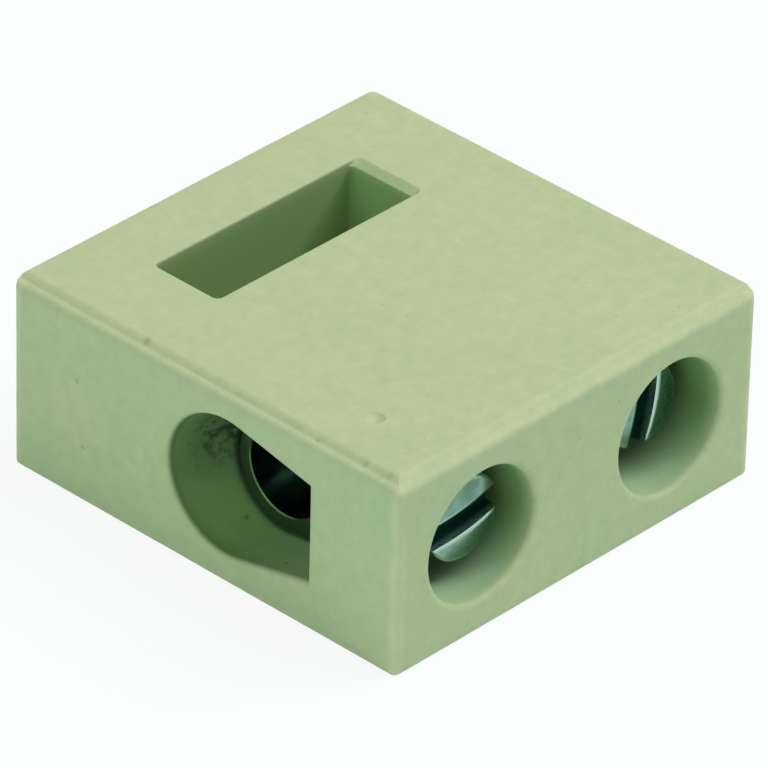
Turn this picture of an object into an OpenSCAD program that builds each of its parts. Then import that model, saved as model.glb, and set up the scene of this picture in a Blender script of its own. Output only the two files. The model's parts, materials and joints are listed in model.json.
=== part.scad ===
// Single-pole terminal block: a pressed ceramic block with one wire passage,
// a loose plated bar in that passage, and two slotted screws that clamp the
// conductors. A slot through the block takes the screw that fixes it down.
// X runs along the wire passage, the screw face is -Y, and the block stands on Z = 0.

/* [Block] */
// Length of the block along the wire passage
block_length = 25; // [21:0.1:40]
// Width of the block from the screw face to the back
block_width = 25.8; // [24.5:0.1:40]
// Height of the block
block_height = 10.8; // [9.8:0.1:16]
// Rounding of the block's upright corners and lower edges
edge_radius = 0.4; // [0.2:0.05:0.9]
// Width of the bevel on the top along the screw face and the left end
bevel_width = 0.4; // [0.2:0.05:0.8]
// Drop of that bevel
bevel_drop = 0.26; // [0.1:0.02:0.5]
// Width of the flat land between the bevel and the upright walls
land_width = 0.5; // [0.35:0.05:0.9]
// Rounding between that land and the upright walls
land_round = 0.3; // [0.1:0.05:0.35]
// Rounding of the top's other two edges, along the back and the right end
back_round = 0.2; // [0.1:0.05:0.5]
// Rounding of the rims where a hole opens on a face
rim_radius = 0.35; // [0.1:0.05:0.5]

/* [Terminal bar] */
// Diameter of the bore that takes the conductors
wire_bore = 4.75; // [3.6:0.05:5.2]
// Metal wall on the round side of the bore
bar_wall = 0.66; // [0.5:0.02:1]
// Metal wall on the screw side of the bore, which holds the threads
thread_wall = 1.45; // [1.1:0.05:2]
// Flat left beside each thread on the screw side
flat_margin = 0.5; // [0.45:0.05:0.7]
// Chamfer at each end of the bore
bore_chamfer = 0.06; // [0.04:0.02:0.4]
// Distance from the screw face to the axis of the bore
axis_inset = 10.25; // [10:0.05:12]
// Gap between the bar and the passage that it lies in
bar_clearance = 0.2; // [0.05:0.05:0.3]
// How far each end of the bar reaches into its funnel while the bar is centred
bar_reach = 0.45; // [0:0.05:0.9]
// How far the loose bar and its screws have slid to the right, as their play allows
bar_slide = 0.45; // [-0.45:0.05:0.45]

/* [Wire funnels] */
// Depth of each funnel, from the end face to the straight passage
funnel_depth = 3; // [1.5:0.1:4]
// How much wider the mouth is than the passage, on its round side
funnel_flare = 0.55; // [0.2:0.01:0.9]
// How far the mouth's round side is set towards the back
funnel_shift = 1.15; // [0:0.05:1.6]
// How much further the mouth reaches towards the screw face
flat_flare = 0.35; // [0.1:0.05:0.8]

/* [Clamp screws] */
// Distance from each end of the bar to the axis of its screw
screw_inset = 3.35; // [2.6:0.05:4]
// Diameter of the thread
thread_d = 4; // [3:0.1:4.2]
// Clearance round the thread in the bar
thread_clearance = 0.05; // [0.02:0.01:0.1]
// Length of a screw from its tip to the top of its head
screw_length = 5.75; // [5:0.05:7]
// Diameter of the head
head_d = 4.6; // [4.4:0.05:5]
// Height of the head
head_height = 1.6; // [1.2:0.1:2.2]
// Rise of the head's domed face from its edge to its middle
head_dome = 0.2; // [0.05:0.05:0.4]
// Rounding of the head's edge
head_round = 0.15; // [0.1:0.05:0.6]
// Width of the driver slot in the head
driver_slot = 1.25; // [0.8:0.05:1.5]
// Depth of the driver slot
driver_slot_depth = 1; // [0.6:0.1:1.4]
// Chamfer at the tip of a screw
tip_chamfer = 0.4; // [0.2:0.05:0.8]
// Turn of the left screw's slot from level
left_slot_angle = 8; // [0:1:180]
// Turn of the right screw's slot from level
right_slot_angle = 80; // [0:1:180]
// Gap between the left screw's tip and the bore, as it is backed out
left_tip_gap = 0.65; // [0:0.05:0.9]
// Gap between the right screw's tip and the bore, as it is backed out
right_tip_gap = 0.05; // [0:0.05:0.9]
// Gap round a screw's head in its access hole, for the driver
head_gap = 1.3; // [1:0.05:1.6]
// Depth of the access hole, down to the throat
access_depth = 4.3; // [3.5:0.1:5]
// Gap round a screw's head in the throat that leads on to the bar
throat_gap = 0.75; // [0.6:0.05:0.9]

/* [Fixing slot] */
// Length of the slot along the wire passage
slot_length = 13.7; // [6:0.1:18]
// Width of the slot
slot_width = 4.3; // [3:0.05:5.5]
// Wall between the slot and the back of the block
slot_back_wall = 4; // [2:0.1:5]
// Rounding of the slot's upright corners
slot_corner = 0.3; // [0.2:0.05:1]
// Depth of the slope round the slot on top
slope_depth = 0.35; // [0.1:0.05:0.8]
// Length of that slope at the slot's right-hand end, where it is longest
end_slope = 0.5; // [0.3:0.05:1]
// Width of that slope along the slot's other sides
side_slope = 0.15; // [0.05:0.05:0.3]

/* [Moulding pit] */
// Diameter of the shallow pit on top
pit_d = 0.9; // [0.4:0.05:1.5]
// Depth of the pit
pit_depth = 0.2; // [0.1:0.02:0.3]
// Distance from the left end face to the pit
pit_inset_x = 3.6; // [1.5:0.1:8]
// Distance from the screw face to the pit
pit_inset_y = 5; // [1.5:0.1:12]

/* [Hidden] */
$fn = 64;
// Segments of a circle inside a loft
loft_segments = 48;
// Segments of the wide circle that a screw's domed face is part of
dome_segments = 360;
// Thickness of a loft's end slices
slice = 0.01;
// How far a cutting shape runs past the face that it opens
overcut = 1;
// Share of a rim's rounding that is cut, so that it meets the face at a slight angle
rim_share = 0.95;
// How far the bar's flanks stay short of tangent where they leave its round side, in degrees
flank_turn = 4;
// How far a throat runs past the passage's flat side
throat_overlap = 0.4;

ceramic = "#AEC092";
nickel = "#A9A99B";
zinc = "#A8B7B0";

screw_face_y = -block_width / 2;
axis_y = screw_face_y + axis_inset;
axis_z = block_height / 2;
bore_r = wire_bore / 2;
bar_r = bore_r + bar_wall;
passage_length = block_length - 2 * funnel_depth;
bar_length = passage_length + 2 * bar_reach;
screw_x = bar_length / 2 - screw_inset;
flat_offset = bore_r + thread_wall;
flat_half = thread_d / 2 + flat_margin;
thread_hole_r = thread_d / 2 + thread_clearance;
access_r = head_d / 2 + head_gap;
throat_r = head_d / 2 + throat_gap;
throat_depth = axis_inset - flat_offset - bar_clearance + throat_overlap;
shank_length = screw_length - head_height;
bore_edge_y = axis_y - bore_r;
slot_y = block_width / 2 - slot_back_wall - slot_width / 2;
pit_sphere_r = (pit_d * pit_d / 4 + pit_depth * pit_depth) / (2 * pit_depth);

// A rectangle about the origin with rounded corners
module rounded_rectangle(width, height, radius) {
    square([width, height - 2 * radius], center = true);
    square([width - 2 * radius, height], center = true);
    for (sx = [-1, 1], sy = [-1, 1])
        translate([sx * (width / 2 - radius), sy * (height / 2 - radius)])
            circle(radius);
}

// Turns a profile in Y and Z into a prism along X, centred on the block's length
module along_x(length) {
    rotate([90, 0, 90])
        translate([0, 0, -length / 2])
            linear_extrude(length)
                children();
}

// Pear-shaped section about the bore's axis: round towards the back, with flanks
// that close in on an upright flat towards the screws
module pear(grow = 0) {
    round_r = bar_r + grow;
    reach = flat_offset + grow;
    half = flat_half + grow;
    lean = atan2(half, reach) + acos(round_r / norm([reach, half])) - flank_turn;
    neck = [-round_r * cos(lean), round_r * sin(lean)];
    circle(round_r);
    polygon([[0, 0], neck, [-reach, half], [-reach, -half], [neck.x, -neck.y]]);
}

// Section of a funnel's mouth, grown from the passage that it leads to
module mouth(grow = 0) {
    reach = flat_offset + bar_clearance + flat_flare + grow;
    half = flat_half + bar_clearance + grow;
    translate([funnel_shift, 0])
        circle(bar_r + bar_clearance + funnel_flare + grow, $fn = loft_segments);
    translate([-reach, -half])
        square([reach, 2 * half]);
}

// Smooth skin between two sections, from the first at z = 0 to the second at z = depth
module loft(depth) {
    hull() {
        linear_extrude(slice)
            children(0);
        translate([0, 0, depth - slice])
            linear_extrude(slice)
                children(1);
    }
}

// A round hole from z = 0 down, with its rim rounded over
module rimmed_hole(radius, depth) {
    rim_start = -rim_share * rim_radius;
    rotate_extrude() {
        translate([0, -depth])
            square([radius, depth + overcut]);
        difference() {
            translate([0, rim_start])
                square([radius + rim_radius, overcut - rim_start]);
            translate([radius + rim_radius, rim_start])
                circle(rim_radius);
        }
    }
}

// Funnel at the right-hand end, from the passage out to the end face
module funnel() {
    translate([passage_length / 2, axis_y, axis_z])
        rotate([90, 0, 90]) {
            loft(funnel_depth + slice) {
                pear(bar_clearance, $fn = loft_segments);
                mouth();
            }
            translate([0, 0, funnel_depth - rim_radius])
                loft(2 * rim_radius) {
                    mouth();
                    mouth(2 * rim_radius);
                }
        }
}

// Access hole for the driver, and the throat that takes the head down to the bar
module screw_hole() {
    rimmed_hole(access_r, access_depth);
    translate([0, 0, -throat_depth])
        cylinder(h = throat_depth, r = throat_r);
}

// The fixing slot, with a slope round it on top and its rim broken underneath
module fixing_slot() {
    translate([0, slot_y, 0]) {
        translate([0, 0, -overcut])
            linear_extrude(block_height + 2 * overcut)
                rounded_rectangle(slot_length, slot_width, slot_corner);
        translate([0, 0, block_height - slope_depth])
            loft(2 * slope_depth) {
                slot_section();
                slot_section(2 * side_slope, 2 * (end_slope - side_slope));
            }
        translate([0, 0, -rim_radius])
            loft(2 * rim_radius) {
                slot_section(2 * rim_radius);
                slot_section();
            }
    }
}

// Section of the fixing slot, grown all round and stretched at its right-hand end
module slot_section(grow = 0, stretch = 0) {
    translate([stretch / 2, 0])
        rounded_rectangle(
            slot_length + 2 * grow + stretch,
            slot_width + 2 * grow,
            slot_corner + grow,
            $fn = loft_segments
        );
}

// Upright section of the block: rounded below, and above with a bevel and a flat land on
// its first side and a plain rounding on its second
module pressed_section(width) {
    half = width / 2;
    land_z = block_height - bevel_drop;
    land_edge = land_round - half;
    bevel_foot = land_width - half;
    bevel_head = bevel_foot + bevel_width;
    back_edge = half - back_round;
    translate([-half, edge_radius])
        square([width, land_z - land_round - edge_radius]);
    translate([edge_radius - half, 0])
        square([width - 2 * edge_radius, axis_z]);
    for (side = [-1, 1])
        translate([side * (half - edge_radius), edge_radius])
            circle(edge_radius);
    translate([land_edge, land_z - land_round])
        circle(land_round);
    translate([back_edge, block_height - back_round])
        circle(back_round);
    polygon([
        [land_edge, axis_z],
        [half, axis_z],
        [half, block_height - back_round],
        [back_edge, block_height],
        [bevel_head, block_height],
        [bevel_foot, land_z],
        [land_edge, land_z]
    ]);
}

// The block before its holes, as the die and the punches shape it
module blank() {
    intersection() {
        linear_extrude(block_height)
            rounded_rectangle(block_length, block_width, edge_radius);
        along_x(block_length)
            pressed_section(block_width);
        rotate([90, 0, 0])
            translate([0, 0, -block_width / 2])
                linear_extrude(block_width)
                    pressed_section(block_length);
    }
}

module block() {
    color(ceramic)
        difference() {
            blank();
            translate([0, axis_y, axis_z])
                along_x(passage_length + 2 * slice)
                    pear(bar_clearance);
            for (side = [0, 1])
                mirror([side, 0, 0])
                    funnel();
            for (side = [-1, 1])
                translate([side * screw_x, screw_face_y, axis_z])
                    rotate([90, 0, 0])
                        screw_hole();
            fixing_slot();
            translate([
                pit_inset_x - block_length / 2,
                screw_face_y + pit_inset_y,
                block_height + pit_sphere_r - pit_depth
            ])
                sphere(pit_sphere_r);
        }
}

module terminal_bar() {
    color(nickel)
        translate([bar_slide, axis_y, axis_z])
            difference() {
                along_x(bar_length)
                    pear();
                along_x(bar_length + 2 * overcut)
                    circle(bore_r);
                for (side = [0, 1])
                    mirror([side, 0, 0])
                        translate([bar_length / 2 - bore_chamfer, 0, 0])
                            rotate([0, 90, 0])
                                cylinder(
                                    h = 2 * bore_chamfer,
                                    r1 = bore_r,
                                    r2 = bore_r + 2 * bore_chamfer
                                );
                for (side = [-1, 1])
                    translate([side * screw_x, 0, 0])
                        rotate([90, 0, 0])
                            cylinder(h = flat_offset + overcut, r = thread_hole_r);
            }
}

// A screw standing on its tip, with the driver slot along X. The edge of its head is
// an arc that touches both the head's side and its domed face
module screw() {
    shank_r = thread_d / 2;
    head_r = head_d / 2;
    dome_r = (head_r * head_r + head_dome * head_dome) / (2 * head_dome);
    dome_z = screw_length - dome_r;
    edge_x = head_r - head_round;
    edge_z = dome_z + sqrt(pow(dome_r - head_round, 2) - pow(edge_x, 2));
    dome_reach = edge_x * dome_r / (dome_r - head_round);
    difference() {
        rotate_extrude() {
            polygon([
                [0, 0],
                [shank_r - tip_chamfer, 0],
                [shank_r, tip_chamfer],
                [shank_r, edge_z],
                [0, edge_z]
            ]);
            translate([0, shank_length])
                square([head_r, edge_z - shank_length]);
            translate([edge_x, edge_z])
                circle(head_round);
            intersection() {
                translate([0, shank_length])
                    square([dome_reach, head_height]);
                translate([0, dome_z])
                    circle(dome_r, $fn = dome_segments);
            }
        }
        translate([-head_d, -driver_slot / 2, screw_length - driver_slot_depth])
            cube([2 * head_d, driver_slot, driver_slot_depth + overcut]);
    }
}

// A screw in its thread, backed out until its tip leaves the bore by the given gap
module seated_screw(side, slot_angle, tip_gap) {
    translate([bar_slide + side * screw_x, bore_edge_y - tip_gap, axis_z])
        rotate([90, 0, 0])
            rotate([0, 0, slot_angle])
                screw();
}

module left_clamp_screw() {
    color(zinc)
        seated_screw(-1, left_slot_angle, left_tip_gap);
}

module right_clamp_screw() {
    color(zinc)
        seated_screw(1, right_slot_angle, right_tip_gap);
}

block();
terminal_bar();
left_clamp_screw();
right_clamp_screw();
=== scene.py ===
# %% [markdown]
# # A rectangular terminal block
# The object joins two conductors: a pressed ceramic block, a plated bar that lies loose in
# it, and two slotted screws that clamp the wires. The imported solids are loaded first,
# because every piece below is placed in their frame. Sizes are in millimetres, as on a
# maker's drawing, and MM turns them into metres.

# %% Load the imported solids
import json
import math

import bmesh
import bpy
import numpy as np
from mathutils import Matrix, Vector


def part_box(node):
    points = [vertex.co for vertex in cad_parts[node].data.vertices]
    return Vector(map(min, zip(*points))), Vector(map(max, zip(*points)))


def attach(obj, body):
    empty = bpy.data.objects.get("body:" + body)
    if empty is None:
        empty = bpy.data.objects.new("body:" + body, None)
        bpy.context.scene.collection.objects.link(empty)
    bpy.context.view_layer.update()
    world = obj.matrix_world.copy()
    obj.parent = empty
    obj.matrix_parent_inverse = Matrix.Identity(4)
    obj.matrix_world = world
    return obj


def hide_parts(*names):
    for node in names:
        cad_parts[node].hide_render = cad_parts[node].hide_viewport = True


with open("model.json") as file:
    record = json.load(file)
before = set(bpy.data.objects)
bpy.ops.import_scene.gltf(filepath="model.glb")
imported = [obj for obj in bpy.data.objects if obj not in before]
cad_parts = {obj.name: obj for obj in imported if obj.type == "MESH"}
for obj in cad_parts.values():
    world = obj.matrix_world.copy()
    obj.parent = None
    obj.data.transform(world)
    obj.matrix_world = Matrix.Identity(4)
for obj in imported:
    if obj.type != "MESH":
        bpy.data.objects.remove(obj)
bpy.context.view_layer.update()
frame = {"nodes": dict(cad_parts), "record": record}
MM = 0.001
scene = bpy.context.scene
scene.view_settings.view_transform = "Standard"


def node_box(node):
    """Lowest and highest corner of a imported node, in millimetres."""
    return tuple(np.array(corner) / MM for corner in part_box(node))


def mount_place(name):
    """Place of one of the record's mounts, in millimetres."""
    found = [m for m in frame["record"]["mounts"] if m["name"] == name]
    return np.array(found[0]["pos_m"]) / MM


# %% [markdown]
# ## The camera
# The picture to match was taken from above the block's front left corner with a long lens,
# slightly rolled. A Track To constraint has no roll, so the camera's axes are worked out
# from the azimuth, the elevation and the roll, and become the columns of its matrix.

# %% Camera
PHOTO_SIDE = 768
AZIMUTH = math.radians(-46.94)
ELEVATION = math.radians(33.11)
ROLL = math.radians(1.42)
CAMERA_DISTANCE = 426.1
FOCAL_PIXELS = 8788.0
PRINCIPAL_POINT = (383.3, 375.7)
SENSOR = 36.0
CLIP_START = 0.01

block_low, block_high = node_box("block")
aim = np.array([0.0, 0.0, block_high[2] / 2])


def camera_axes(azimuth, elevation, roll):
    """Right, up and back axes: back points from the object to the camera, right is level,
    and the roll turns right and up about back."""
    back = np.array([
        math.sin(azimuth) * math.cos(elevation),
        -math.cos(azimuth) * math.cos(elevation),
        math.sin(elevation),
    ])
    level = np.array([math.cos(azimuth), math.sin(azimuth), 0.0])
    upright = np.cross(back, level)
    right = level * math.cos(roll) + upright * math.sin(roll)
    up = upright * math.cos(roll) - level * math.sin(roll)
    return right, up, back


def make_camera():
    """A camera with the photograph's lens, place and framing."""
    right, up, back = camera_axes(AZIMUTH, ELEVATION, ROLL)
    data = bpy.data.cameras.new("camera")
    data.sensor_width = SENSOR
    data.lens = FOCAL_PIXELS * SENSOR / PHOTO_SIDE
    data.shift_x = 0.5 - PRINCIPAL_POINT[0] / PHOTO_SIDE
    data.shift_y = PRINCIPAL_POINT[1] / PHOTO_SIDE - 0.5
    data.clip_start = CLIP_START
    camera = bpy.data.objects.new("camera", data)
    matrix = Matrix.Identity(4)
    for column, axis in enumerate((right, up, back)):
        matrix.col[column][:3] = axis
    matrix.translation = Vector((aim + back * CAMERA_DISTANCE) * MM)
    camera.matrix_world = matrix
    scene.collection.objects.link(camera)
    scene.camera = camera
    return camera


camera = make_camera()
print("camera lens", round(camera.data.lens, 1), "mm")

# %% [markdown]
# ## Patches
# Boolean modifiers could cut the holes from a cube, but their cuts leave long thin faces
# that shade badly. Here each wall is a patch instead: rows of points, worked out as a whole.
# Patches that meet share the points of their common edge, so merging doubles at the end
# sews them into one closed skin.

# %% Patch helpers
WELD = 2e-7
SMOOTH_ANGLE = math.radians(38)


def pairs(a, b):
    """2-D points of the coordinates a and b. A single number serves for all of them."""
    return np.stack(np.broadcast_arrays(a, b), -1)


def circle(turn):
    """Points of the unit circle at the given angles."""
    return pairs(np.cos(turn), np.sin(turn))


def on_plane(outline, axis, level):
    """Puts 2-D points on the plane where coordinate number axis equals level."""
    return np.insert(np.asarray(outline, float), axis, level, axis=-1)


def grid(a, b):
    """Flat grid of points: the ticks a along each row, and one row for each tick of b."""
    return np.stack(np.meshgrid(a, b), -1)


def layers(axis, rows):
    """Surface through outlines, given as rows of (outline, level along that axis)."""
    return np.stack([on_plane(outline, axis, level) for outline, level in rows])


def between(inner, outer, steps):
    """Ring or strip between two rows of points: P(u, s) = (1 - s) inner(u) + s outer(u)."""
    share = np.linspace(0, 1, steps + 1)[:, None, None]
    return (1 - share) * inner + share * outer


def rectangle(a, b):
    """Outline of a rectangle with ticks a and b, anticlockwise from its low corner."""
    return np.concatenate([
        pairs(a[:-1], b[0]), pairs(a[-1], b[:-1]),
        pairs(a[:0:-1], b[-1]), pairs(a[0], b[:0:-1]),
    ])


def quads(rows, columns, closed):
    """Corner numbers of a grid's quads, with the points numbered row by row. A closed grid
    joins its last column to its first."""
    row = np.arange(rows - 1)[:, None] * columns
    next_row = row + columns
    column = np.arange(columns if closed else columns - 1)[None, :]
    following = (column + 1) % columns
    corners = [row + column, row + following, next_row + following, next_row + column]
    return np.stack(corners, -1).reshape(-1, 4)


def sew(name, closed_patches, open_patches=()):
    """One mesh object from patches: their points are put end to end, and points that lie
    on each other are merged."""
    points, faces, start = [], [], 0
    for group, closed in ((closed_patches, True), (open_patches, False)):
        for patch in group:
            rows, columns = patch.shape[:2]
            points.append(patch.reshape(-1, 3))
            faces.append(quads(rows, columns, closed) + start)
            start += rows * columns
    points, faces = np.concatenate(points) * MM, np.concatenate(faces)
    mesh = bpy.data.meshes.new(name)
    mesh.from_pydata(points.tolist(), [], faces.tolist())
    skin = bmesh.new()
    skin.from_mesh(mesh)
    bmesh.ops.remove_doubles(skin, verts=skin.verts, dist=WELD)
    bmesh.ops.dissolve_degenerate(skin, dist=WELD, edges=skin.edges)
    bmesh.ops.recalc_face_normals(skin, faces=skin.faces)
    open_edges = sum(not edge.is_manifold for edge in skin.edges)
    skin.to_mesh(mesh)
    skin.free()
    piece = bpy.data.objects.new(name, mesh)
    scene.collection.objects.link(piece)
    print(name, "faces", len(mesh.polygons), "open edges", open_edges)
    return piece


def smooth(piece):
    """Smooth shading that breaks at edges sharper than SMOOTH_ANGLE."""
    piece.data.shade_smooth()
    piece.data.set_sharp_from_angle(angle=SMOOTH_ANGLE)


print("a grid of 3 rows and 4 columns has", len(quads(3, 4, False)), "quads")

# %% [markdown]
# ## The block's plan and its edges
# The block is pressed from powder between two punches and fired. The die gives it straight
# walls with rounded upright corners. Along the screw face and the left end the upper punch
# leaves a bevel and a narrow land, whose outer edge is tumbled round. The other two sides
# have a plain small rounding. Each edge is a profile carried round the plan in level rows,
# so that the two kinds of edge meet cleanly at the corners.

# %% Plan of the block
HALF_LENGTH, HALF_WIDTH, HEIGHT = block_high
CORNER = 0.4
EDGE_BAND = 1.1
CORNER_STEPS = 16
X_COUNT = 60
Z_COUNT = 24
FRONT_COUNT = 38
REAR_COUNT = 26
TOP_SPLIT = 2.2
SEAM_LOW = 0.6
SEAM_HIGH = HEIGHT - 0.9
TINY = 1e-12

corner_x = HALF_LENGTH - EDGE_BAND
corner_y = HALF_WIDTH - EDGE_BAND
x_ticks = np.linspace(-corner_x, corner_x, X_COUNT + 1)
front_ticks = np.linspace(-corner_y, TOP_SPLIT, FRONT_COUNT + 1)
rear_ticks = np.linspace(TOP_SPLIT, corner_y, REAR_COUNT + 1)
y_ticks = np.concatenate([front_ticks, rear_ticks[1:]])
z_ticks = np.linspace(SEAM_LOW, SEAM_HIGH, Z_COUNT + 1)


def draw_in(sharp, low, high, radius):
    """Rounds a sharp outline q in the rectangle from low to high: c + r (q - c) / |q - c|,
    where c is q moved into the rectangle shrunk by the radius r."""
    core = np.clip(sharp, low + radius, high - radius)
    away = sharp - core
    length = np.linalg.norm(away, axis=-1, keepdims=True)
    return core + radius * away / np.maximum(length, TINY)


def corner_path(number, insets):
    """One corner of the plan: two legs, each EDGE_BAND less the inset of the other
    wall, with the corner between them rounded. The walls are -y, +x, +y and
    -x, and corner 0 is between the first two."""
    inset, next_inset = insets[number], insets[(number + 1) % 4]
    reach = EDGE_BAND - np.array([next_inset, inset])
    first = np.linspace((0, -reach[1]), (reach[0], -reach[1]), CORNER_STEPS + 1)
    second = np.linspace((reach[0], -reach[1]), (reach[0], 0), CORNER_STEPS + 1)[1:]
    radius = min(max(CORNER - max(inset, next_inset), 0), *reach)
    path = draw_in(np.concatenate([first, second]), -reach, reach, radius)
    turn = math.radians(90 * number)
    spin = np.array([[math.cos(turn), math.sin(turn)], [-math.sin(turn), math.cos(turn)]])
    centre = np.array([(1, -1), (1, 1), (-1, 1), (-1, -1)][number]) * (corner_x, corner_y)
    return centre + path @ spin


def plan(front, back):
    """The block's plan, drawn in by front along the screw face and the left end, and by
    back along the other two sides."""
    insets = (front, back, back, front)
    inner_x, inner_y = x_ticks[1:-1], y_ticks[1:-1]
    sides = [
        pairs(inner_x, front - HALF_WIDTH),
        pairs(HALF_LENGTH - back, inner_y),
        pairs(inner_x[::-1], HALF_WIDTH - back),
        pairs(front - HALF_LENGTH, inner_y[::-1]),
    ]
    corners = [corner_path(number, insets) for number in range(4)]
    return np.concatenate([part for pair in zip(sides, corners) for part in pair])


def carried_round(profile):
    """Surface of a profile carried round the plan: a level outline for each row of
    (front inset, back inset, height)."""
    return layers(2, [(plan(front, back), height) for front, back, height in profile])


print("plan has", len(plan(0, 0)), "points")

# %% [markdown]
# A profile is a list of rows of front inset, back inset and height. The front insets step
# over the bevel and the land, and the back insets follow the plain rounding at the same
# heights. The upright corners and the back wall between the edges are plain patches.

# %% Edge profiles
LAND_ROUND = 0.38
LAND = 0.5
LAND_FALL = 0.01
BEVEL_WIDTH = 0.4
BEVEL_DROP = 0.26
BEVEL_POWER = 1.5
BACK_ROUND = 0.2
BOTTOM_ROUND = 0.3
EDGE_STEPS = 5


def quarter_round(radius, steps):
    """Points of a quarter circle from (radius, 0) to (0, radius), bulging to the origin."""
    turn = np.radians(np.linspace(0, 90, steps + 1))
    return radius * pairs(1 - np.sin(turn), 1 - np.cos(turn))


def rounding_inset(depth, radius):
    """Inset of a rounded edge at a depth d below its top: r - sqrt(r^2 - (r - d)^2) down
    to d = r, and 0 below that."""
    return radius - np.sqrt(radius ** 2 - np.maximum(radius - depth, 0) ** 2)


def top_edge():
    """From the flat top down to the upright walls. The bevel is worn: its depth grows
    with a power of the way across it. The land falls a little outwards, because
    on the plain walls two rows of one height would lie on each other."""
    back_depth = quarter_round(BACK_ROUND, EDGE_STEPS)[:, 1]
    bevel_depth = np.union1d(np.linspace(0, BEVEL_DROP, EDGE_STEPS + 1), back_depth)
    bevel = LAND + BEVEL_WIDTH * (1 - (bevel_depth / BEVEL_DROP) ** (1 / BEVEL_POWER))
    land_inset, land_depth = quarter_round(LAND_ROUND, EDGE_STEPS).T
    land_depth = land_depth + BEVEL_DROP + LAND_FALL
    depth = np.concatenate([bevel_depth, land_depth, [HEIGHT - SEAM_HIGH]])
    front = np.concatenate([bevel, land_inset, [0]])
    rows = np.stack([front, rounding_inset(depth, BACK_ROUND), HEIGHT - depth], -1)
    return np.concatenate([[[EDGE_BAND, EDGE_BAND, HEIGHT]], rows])


def bottom_edge():
    """From the flat underside round the lower edge to the upright walls."""
    rounded = quarter_round(BOTTOM_ROUND, EDGE_STEPS)[:, [0, 0, 1]]
    return np.concatenate([[[EDGE_BAND, EDGE_BAND, 0]], rounded, [[0, 0, SEAM_LOW]]])


edge_patches = [carried_round(top_edge()), carried_round(bottom_edge())]
corner_walls = [
    layers(2, [(corner_path(number, (0, 0, 0, 0)), height) for height in z_ticks])
    for number in range(4)
]
back_wall = on_plane(grid(x_ticks, z_ticks), 1, HALF_WIDTH)
print("edge profile points:", len(top_edge()), "and", len(bottom_edge()))

# %% [markdown]
# ## The fixing slot and the top
# A slot runs through the block for the screw that holds it down. Its upper rim is rounded
# on three sides, and at the right-hand end it is a bevel with a narrow land. The top around
# it is a ring from the rim to a rectangle. The front part of the top is a second ring, round
# a shallow pit that the punch left.

# %% Fixing slot
SLOT_Y = mount_place("fixing_slot")[1]
SLOT_HALF = (6.85, 2.15)
SLOT_CORNER = 0.3
SLOT_CORNER_TICKS = 4
RIM = 0.3
SLOT_RIM = 0.15
END_BEVEL = [(0.0, 0.5), (0.26, 0.16), (0.28, 0.05), (0.31, 0.015), (0.35, 0.0)]
SLOT_STEPS = 24
TOP_STEPS = 22


def corner_ticks(low, high, radius, count):
    """Ticks along a side, with SLOT_CORNER_TICKS of them inside each rounded corner."""
    return np.concatenate([
        np.linspace(low, low + radius, SLOT_CORNER_TICKS + 1)[:-1],
        np.linspace(low + radius, high - radius, count - 2 * SLOT_CORNER_TICKS + 1),
        np.linspace(high - radius, high, SLOT_CORNER_TICKS + 1)[1:],
    ])


def slot_outline(grow=0.0, stretch=0.0):
    """Plan of the slot, grown all round and stretched at its right-hand end."""
    low = np.array([-SLOT_HALF[0] - grow, SLOT_Y - SLOT_HALF[1] - grow])
    high = np.array([SLOT_HALF[0] + grow + stretch, SLOT_Y + SLOT_HALF[1] + grow])
    radius = SLOT_CORNER + grow
    sharp = rectangle(
        corner_ticks(low[0], high[0], radius, X_COUNT),
        corner_ticks(low[1], high[1], radius, REAR_COUNT),
    )
    return draw_in(sharp, low, high, radius)


def slot_rim():
    """The upper rim: three sides follow a quarter round, and the right-hand end
    follows END_BEVEL's (depth, reach)."""
    bevel_depth, bevel_reach = np.array(END_BEVEL).T
    depth = np.union1d(bevel_depth, quarter_round(SLOT_RIM, EDGE_STEPS)[:, 1])
    grow = rounding_inset(depth, SLOT_RIM)
    stretch = np.interp(depth, bevel_depth, bevel_reach) - grow
    outlines = [slot_outline(*row) for row in zip(grow, stretch)]
    return layers(2, zip(outlines, HEIGHT - depth))


def slot_patches():
    """Top rim, walls and lower rim of the slot."""
    rim = slot_rim()
    foot = quarter_round(RIM, EDGE_STEPS)
    lower = layers(2, [(slot_outline(grow), height) for grow, height in foot])
    return [rim, between(rim[-1], lower[-1], SLOT_STEPS), lower]


slot = slot_patches()
top_rear = between(slot[0][0], on_plane(rectangle(x_ticks, rear_ticks), 2, HEIGHT), TOP_STEPS)
under_rear = between(slot[2][0], on_plane(rectangle(x_ticks, rear_ticks), 2, 0.0), TOP_STEPS)
under_front = on_plane(grid(x_ticks, front_ticks), 2, 0.0)
print("slot rim rows", len(slot[0]), "wall rows", len(slot[1]))

# %% [markdown]
# The pit is a shallow bowl. Its rings have as many points as the rectangle round it, so the
# front of the top is a plain ring between the two.

# %% Moulding pit and the front of the top
PIT_PLACE = (-8.9, -7.9)
PIT_RADIUS = 0.48
PIT_DEPTH = 0.22
PIT_STEPS = 12
FRONT_STEPS = 40


def quarters(counts):
    """Angles round a circle that answer to a rectangle's ticks from its lowest corner
    on: each quarter has as many as its side."""
    runs = [
        np.linspace(225 + 90 * side, 315 + 90 * side, count + 1)[:-1]
        for side, count in enumerate(counts)
    ]
    return np.radians(np.concatenate(runs))


def pit():
    """The pit's bowl: rings at t times its radius, as deep as PIT_DEPTH times 1 - t^2."""
    ring = circle(quarters((X_COUNT, FRONT_COUNT, X_COUNT, FRONT_COUNT)))
    share = np.linspace(1, 0, PIT_STEPS + 1)
    rings = [PIT_PLACE + PIT_RADIUS * t * ring for t in share]
    return layers(2, zip(rings, HEIGHT - PIT_DEPTH * (1 - share * share)))


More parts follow.
